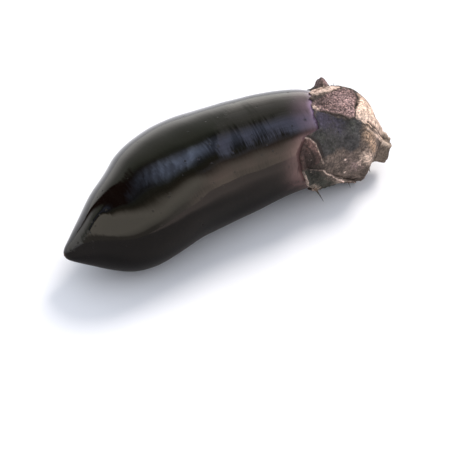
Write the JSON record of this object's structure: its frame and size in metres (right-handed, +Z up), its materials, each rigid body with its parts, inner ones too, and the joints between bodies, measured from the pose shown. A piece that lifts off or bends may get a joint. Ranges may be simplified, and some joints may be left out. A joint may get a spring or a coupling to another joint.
{
  "type": "eggplant",
  "caption": "Whole curved eggplant as picked, lying on its belly, with a rough folded calyx, small prickles and a short cut stem.",
  "frame": {"origin": "middle of the bounding box at its bottom, on the surface that the eggplant lies on", "axes": "+X runs from the blossom tip toward the cut stem, +Y points to the side that the fruit bows toward, +Z up"},
  "size_m": [0.207, 0.0744, 0.0664],
  "materials": {
    "skin": "glossy, almost black purple skin",
    "calyx": "rough, dry green-brown calyx",
    "stem": "rough, dry tan stem"
  },
  "bodies": {
    "root": {"fruit": "skin", "calyx": "calyx", "stem": "stem"}
  },
  "joints": []
}
